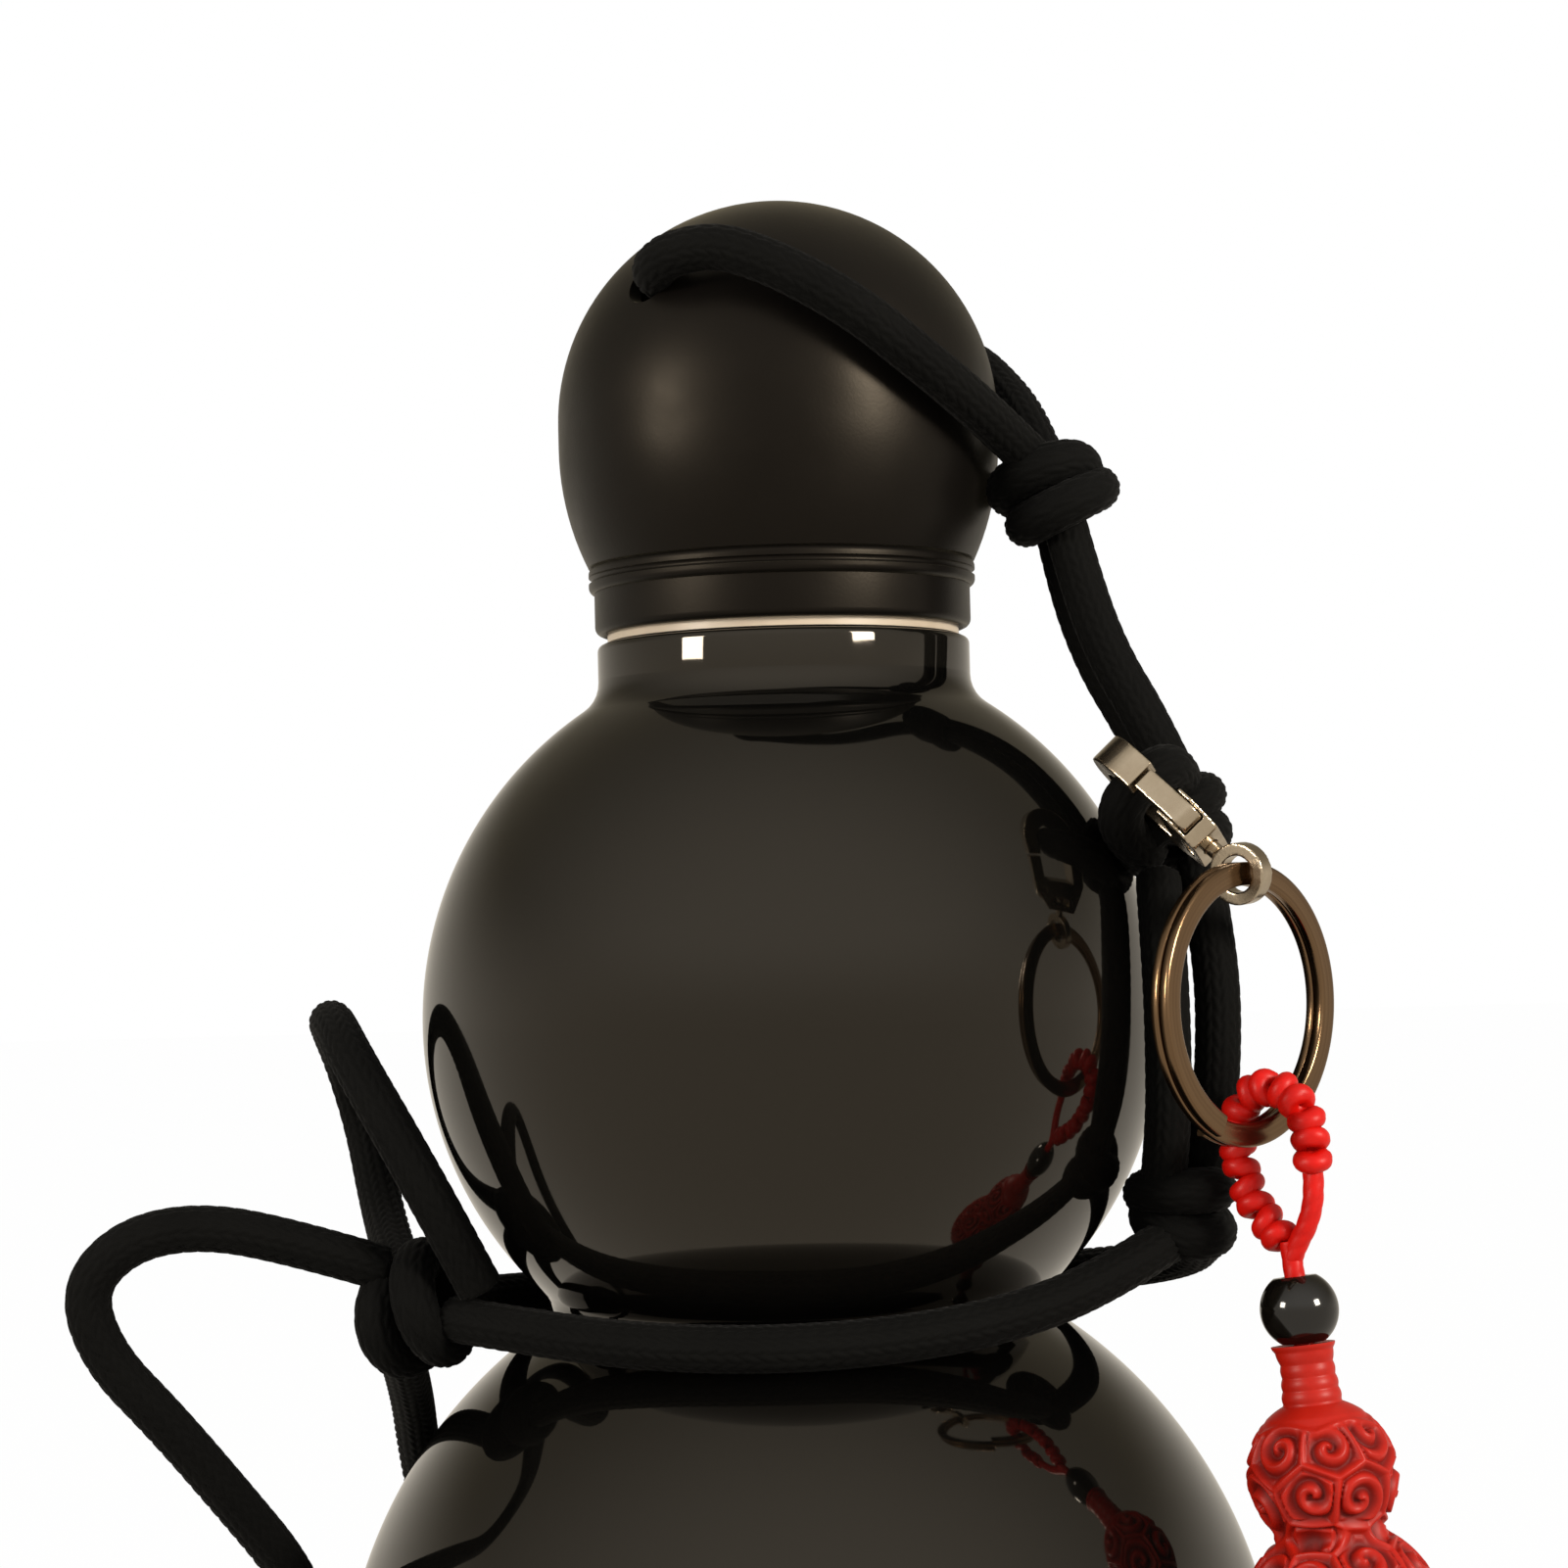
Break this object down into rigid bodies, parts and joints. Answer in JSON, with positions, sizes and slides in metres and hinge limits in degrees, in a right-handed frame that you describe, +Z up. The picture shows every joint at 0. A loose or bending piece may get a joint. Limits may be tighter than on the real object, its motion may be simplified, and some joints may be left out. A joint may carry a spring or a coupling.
{
  "type": "gourd water bottle",
  "caption": "Double-bulb water bottle with a ball-shaped screw cap, a knotted cord tether and hand strap, and a clasp with a split ring and a carved charm.",
  "frame": {"origin": "centre of the flat base, on the bottle's axis", "axes": "+Z up along the bottle's axis to the cap, -Y towards the viewer of the front, +X to the side where the tether and charm hang"},
  "size_m": [0.1285, 0.1134, 0.191],
  "materials": {
    "smoked_body": "deep smoked black, clear gloss",
    "cap_satin": "soft satin black",
    "cap_insert": "pale moulded plastic",
    "seal": "translucent silicone",
    "black_cord": "braided, matt",
    "nickel": "polished nickel plate",
    "spring_steel": "drawn wire",
    "red_cord": "waxed, twisted",
    "black_bead": "high gloss",
    "red_carved": "carved relief, satin gloss"
  },
  "bodies": {
    "bottle": {"bottle_lower_bulb": "smoked_body", "bottle_upper_bulb": "smoked_body", "bottle_neck": "smoked_body"},
    "harness": {"waist_cord_front": "black_cord", "waist_cord_back": "black_cord", "side_knot": "black_cord", "strap_knot": "black_cord", "ear_loop": "black_cord", "hand_strap_loop": "black_cord", "side_strand_outer": "black_cord", "side_strand_inner": "black_cord"},
    "cap": {"cap_shell": "cap_satin", "cap_thread_insert": "cap_insert", "cap_seal": "seal", "cap_loop_cord": "black_cord", "cap_knot": "black_cord", "tether_cord_front": "black_cord", "tether_cord_rear": "black_cord", "clasp_knot": "black_cord"},
    "clasp": {"clasp_hook_body": "nickel", "clasp_gate_pin": "nickel", "clasp_gate_spring": "spring_steel"},
    "gate": {"clasp_gate": "nickel"},
    "swivel": {"clasp_swivel_eye": "nickel"},
    "ring": {"split_ring": "nickel"},
    "charm": {"charm_loop_cord": "red_cord", "charm_snake_knots": "red_cord", "charm_tail_cord": "red_cord", "charm_end_knot": "red_cord"},
    "bead": {"charm_bead": "black_bead"},
    "gourd": {"charm_gourd": "red_carved"}
  },
  "joints": [
    {"name": "cap_turn", "type": "hinge", "parent": "bottle", "child": "harness", "pos_m": [0, 0, 0], "axis": [0, 0, 1], "range_deg": [0, 540]},
    {"name": "cap_rise", "type": "slide", "parent": "harness", "child": "cap", "axis": [0, 0, 1], "range_m": [0, 0.0063], "deforming": ["side_strand_outer", "side_strand_inner"]},
    {"name": "clasp_swing", "type": "hinge", "parent": "cap", "child": "clasp", "pos_m": [0.03397, -0.01899, 0.13005], "axis": [-0.7277, 0, -0.6859], "range_deg": [0, 50]},
    {"name": "gate_open", "type": "hinge", "parent": "clasp", "child": "gate", "pos_m": [0.03726, -0.02512, 0.12656], "axis": [-0.7277, 0, -0.6859], "range_deg": [0, 30], "stiffness_Nm_per_rad": 0.02, "springref_deg": -17.19},
    {"name": "swivel_turn", "type": "hinge", "parent": "clasp", "child": "swivel", "pos_m": [0.0425, -0.0253, 0.121], "axis": [0.6118, -0.4522, -0.649], "range_deg": [-20, 20]},
    {"name": "ring_swing", "type": "hinge", "parent": "swivel", "child": "ring", "pos_m": [0.0425, -0.0253, 0.121], "axis": [-0.7071, -0.7071, 0], "range_deg": [0, 60]},
    {"name": "charm_swing", "type": "hinge", "parent": "ring", "child": "charm", "pos_m": [0.04526, -0.02254, 0.09703], "axis": [-0.7071, -0.7071, 0], "range_deg": [0, 60]},
    {"name": "bead_spin", "type": "hinge", "parent": "charm", "child": "bead", "pos_m": [0.04692, -0.0242, 0.07989], "axis": [-0.096, 0.096, 0.9907], "continuous": true},
    {"name": "gourd_spin", "type": "hinge", "parent": "charm", "child": "gourd", "pos_m": [0.0491, -0.02638, 0.0574], "axis": [-0.096, 0.096, 0.9907], "continuous": true}
  ],
  "couplings": [
    {"joint": "cap_rise", "follows": "cap_turn", "m_per_rad": 0.00066845}
  ]
}
